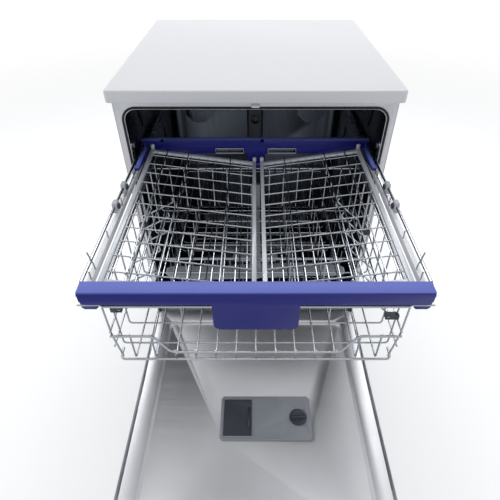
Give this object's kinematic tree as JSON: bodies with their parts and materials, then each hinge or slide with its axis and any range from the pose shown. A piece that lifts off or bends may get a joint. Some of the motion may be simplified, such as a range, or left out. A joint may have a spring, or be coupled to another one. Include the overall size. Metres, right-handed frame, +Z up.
{
  "type": "dishwasher",
  "caption": "Free-standing front-opening dishwasher, door down, upper rack pulled out with two sloping cutlery trays over a wire basket, lower basket inside.",
  "frame": {"origin": "centre of the bounding box's footprint on the floor, with the door open and the upper rack out", "axes": "+X to the machine's right as seen from the front, +Y from the front into the machine, +Z up"},
  "size_m": [0.598, 1.229, 0.845],
  "materials": {
    "cabinet_enamel": "satin light grey",
    "worktop_laminate": "satin light grey laminate",
    "tub_steel": "brushed stainless",
    "zinc_plate": "zinc plated",
    "rail_steel": "polished",
    "wire_steel": "bright coated wire",
    "tray_wire": "bright wire",
    "rack_trim": "satin violet blue",
    "rack_white": "satin white",
    "control_plastic": "satin light grey",
    "display_black": "gloss black",
    "seal_rubber": "matte black",
    "grey_plastic": "matte grey",
    "filter_steel": "fine perforated steel",
    "base_plastic": "matte black",
    "clear_plastic": "natural",
    "weight_block": "rough cast"
  },
  "bodies": {
    "cabinet": {"base_tray": "base_plastic", "kick_plate": "cabinet_enamel", "tub": "tub_steel", "front_frame": "cabinet_enamel", "door_seal": "seal_rubber", "side_panels": "cabinet_enamel", "top_panel": "worktop_laminate", "rear_panel": "zinc_plate", "water_duct": "grey_plastic", "sump": "grey_plastic", "filter_plate": "filter_steel", "softener_tank": "clear_plastic", "circulation_pump": "base_plastic", "drain_pump": "base_plastic", "inlet_chamber": "clear_plastic", "hose_connections": "base_plastic", "counterweight": "weight_block", "hinge_brackets": "zinc_plate", "door_springs": "zinc_plate", "fixed_rails": "rail_steel"},
    "front_left_foot": {"front_left_foot": "base_plastic"},
    "front_right_foot": {"front_right_foot": "base_plastic"},
    "rear_feet": {"rear_feet": "base_plastic"},
    "top_spray_head": {"top_spray_head": "grey_plastic"},
    "filter_cup": {"filter_cup": "grey_plastic"},
    "salt_cap": {"salt_cap": "grey_plastic"},
    "overflow_float": {"overflow_float": "grey_plastic"},
    "pump_impeller": {"pump_impeller": "base_plastic"},
    "lower_spray_arm": {"lower_spray_arm": "grey_plastic"},
    "middle_rails": {"middle_rails": "rail_steel"},
    "door": {"door_outer_panel": "cabinet_enamel", "door_inner_panel": "tub_steel", "control_panel": "control_plastic", "display_window": "display_black", "door_latch": "grey_plastic", "dispenser_body": "grey_plastic", "hinge_arms": "zinc_plate"},
    "dispenser_lid": {"dispenser_lid": "grey_plastic"},
    "rinse_aid_cap": {"rinse_aid_cap": "grey_plastic"},
    "power_button": {"power_button": "control_plastic"},
    "program_button": {"program_button": "control_plastic"},
    "option_button": {"option_button": "control_plastic"},
    "start_button": {"start_button": "control_plastic"},
    "upper_rack": {"rack_front_bar": "rack_trim", "rack_rear_bar": "rack_trim", "rack_side_rails": "rack_white", "upper_basket": "wire_steel", "shelf_clips": "grey_plastic", "feed_pipe": "grey_plastic"},
    "left_tray": {"left_tray": "tray_wire"},
    "right_tray": {"right_tray": "tray_wire"},
    "left_cup_shelf": {"left_cup_shelf": "wire_steel"},
    "right_cup_shelf": {"right_cup_shelf": "wire_steel"},
    "upper_spray_arm": {"upper_spray_arm": "grey_plastic"},
    "lower_basket": {"lower_basket": "wire_steel"},
    "roller_pair_1": {"roller_pair_1": "grey_plastic"},
    "roller_pair_2": {"roller_pair_2": "grey_plastic"},
    "roller_pair_3": {"roller_pair_3": "grey_plastic"},
    "roller_pair_4": {"roller_pair_4": "grey_plastic"},
    "folding_tines": {"folding_tines": "wire_steel"}
  },
  "joints": [
    {"name": "door_hinge", "type": "hinge", "parent": "cabinet", "child": "door", "pos_m": [0, 0.0455, 0.155], "axis": [-1, 0, 0], "range_deg": [0, 90], "deforming": ["door_springs"]},
    {"name": "upper_rack_slide", "type": "slide", "parent": "cabinet", "child": "upper_rack", "axis": [0, 1, 0], "range_m": [0, 0.424]},
    {"name": "middle_rails_slide", "type": "slide", "parent": "cabinet", "child": "middle_rails", "axis": [0, 1, 0], "range_m": [0, 0.212]},
    {"name": "lower_basket_slide", "type": "slide", "parent": "cabinet", "child": "lower_basket", "axis": [0, 1, 0], "range_m": [-0.45, 0]},
    {"name": "roller_pair_1_spin", "type": "hinge", "parent": "lower_basket", "child": "roller_pair_1", "pos_m": [0, 0.1305, 0.187], "axis": [1, 0, 0], "continuous": true},
    {"name": "roller_pair_2_spin", "type": "hinge", "parent": "lower_basket", "child": "roller_pair_2", "pos_m": [0, 0.25983, 0.187], "axis": [1, 0, 0], "continuous": true},
    {"name": "roller_pair_3_spin", "type": "hinge", "parent": "lower_basket", "child": "roller_pair_3", "pos_m": [0, 0.38917, 0.187], "axis": [1, 0, 0], "continuous": true},
    {"name": "roller_pair_4_spin", "type": "hinge", "parent": "lower_basket", "child": "roller_pair_4", "pos_m": [0, 0.5185, 0.187], "axis": [1, 0, 0], "continuous": true},
    {"name": "folding_tines_pivot", "type": "hinge", "parent": "lower_basket", "child": "folding_tines", "pos_m": [-0.126, 0.3365, 0.21], "axis": [1, 0, 0], "range_deg": [0, 85]},
    {"name": "left_tray_hinge", "type": "hinge", "parent": "upper_rack", "child": "left_tray", "pos_m": [-0.248, -0.0955, 0.663], "axis": [0, 1, 0], "range_deg": [-34, 0]},
    {"name": "right_tray_hinge", "type": "hinge", "parent": "upper_rack", "child": "right_tray", "pos_m": [0.248, -0.0955, 0.663], "axis": [0, -1, 0], "range_deg": [-34, 0]},
    {"name": "left_cup_shelf_hinge", "type": "hinge", "parent": "upper_rack", "child": "left_cup_shelf", "pos_m": [-0.236, -0.1665, 0.589], "axis": [0, -1, 0], "range_deg": [-29, 31]},
    {"name": "right_cup_shelf_hinge", "type": "hinge", "parent": "upper_rack", "child": "right_cup_shelf", "pos_m": [0.232, -0.1665, 0.57], "axis": [0, 1, 0], "range_deg": [-44, 16]},
    {"name": "upper_spray_arm_spin", "type": "hinge", "parent": "upper_rack", "child": "upper_spray_arm", "pos_m": [0, -0.0835, 0.462], "axis": [0, 0, 1], "continuous": true},
    {"name": "lower_spray_arm_spin", "type": "hinge", "parent": "cabinet", "child": "lower_spray_arm", "pos_m": [0, 0.3405, 0.176], "axis": [0, 0, 1], "continuous": true},
    {"name": "top_spray_head_spin", "type": "hinge", "parent": "cabinet", "child": "top_spray_head", "pos_m": [0, 0.3405, 0.773], "axis": [0, 0, 1], "continuous": true},
    {"name": "pump_impeller_spin", "type": "hinge", "parent": "cabinet", "child": "pump_impeller", "pos_m": [0.04, 0.5125, 0.074], "axis": [1, 0, 0], "continuous": true},
    {"name": "filter_cup_turn", "type": "hinge", "parent": "cabinet", "child": "filter_cup", "pos_m": [0.056, 0.3405, 0.13], "axis": [0, 0, 1], "range_deg": [0, 90]},
    {"name": "salt_cap_turn", "type": "hinge", "parent": "cabinet", "child": "salt_cap", "pos_m": [-0.149, 0.3205, 0.135], "axis": [0, 0, 1], "range_deg": [0, 270]},
    {"name": "overflow_float_lift", "type": "slide", "parent": "cabinet", "child": "overflow_float", "axis": [0, 0, 1], "range_m": [0, 0.008]},
    {"name": "front_left_foot_screw", "type": "slide", "parent": "cabinet", "child": "front_left_foot", "axis": [0, 0, -1], "range_m": [0, 0.03]},
    {"name": "front_right_foot_screw", "type": "slide", "parent": "cabinet", "child": "front_right_foot", "axis": [0, 0, -1], "range_m": [0, 0.03]},
    {"name": "rear_feet_screw", "type": "slide", "parent": "cabinet", "child": "rear_feet", "axis": [0, 0, -1], "range_m": [0, 0.03]},
    {"name": "power_button_press", "type": "slide", "parent": "door", "child": "power_button", "axis": [0, 0, 1], "range_m": [0, 0.0025], "stiffness_N_per_m": 300},
    {"name": "program_button_press", "type": "slide", "parent": "door", "child": "program_button", "axis": [0, 0, 1], "range_m": [0, 0.0025], "stiffness_N_per_m": 300},
    {"name": "option_button_press", "type": "slide", "parent": "door", "child": "option_button", "axis": [0, 0, 1], "range_m": [0, 0.0025], "stiffness_N_per_m": 300},
    {"name": "start_button_press", "type": "slide", "parent": "door", "child": "start_button", "axis": [0, 0, 1], "range_m": [0, 0.0025], "stiffness_N_per_m": 300},
    {"name": "dispenser_lid_slide", "type": "slide", "parent": "door", "child": "dispenser_lid", "axis": [1, 0, 0], "range_m": [0, 0.064]},
    {"name": "rinse_aid_cap_turn", "type": "hinge", "parent": "door", "child": "rinse_aid_cap", "pos_m": [0.104, -0.2845, 0.157], "axis": [0, 0, 1], "range_deg": [0, 90]}
  ],
  "couplings": [
    {"joint": "upper_rack_slide", "follows": "door_hinge", "m_per_rad": 0.26986},
    {"joint": "middle_rails_slide", "follows": "door_hinge", "m_per_rad": 0.1349},
    {"joint": "roller_pair_1_spin", "follows": "lower_basket_slide", "rad_per_m": -52.632},
    {"joint": "roller_pair_2_spin", "follows": "lower_basket_slide", "rad_per_m": -52.632},
    {"joint": "roller_pair_3_spin", "follows": "lower_basket_slide", "rad_per_m": -52.632},
    {"joint": "roller_pair_4_spin", "follows": "lower_basket_slide", "rad_per_m": -52.632}
  ]
}
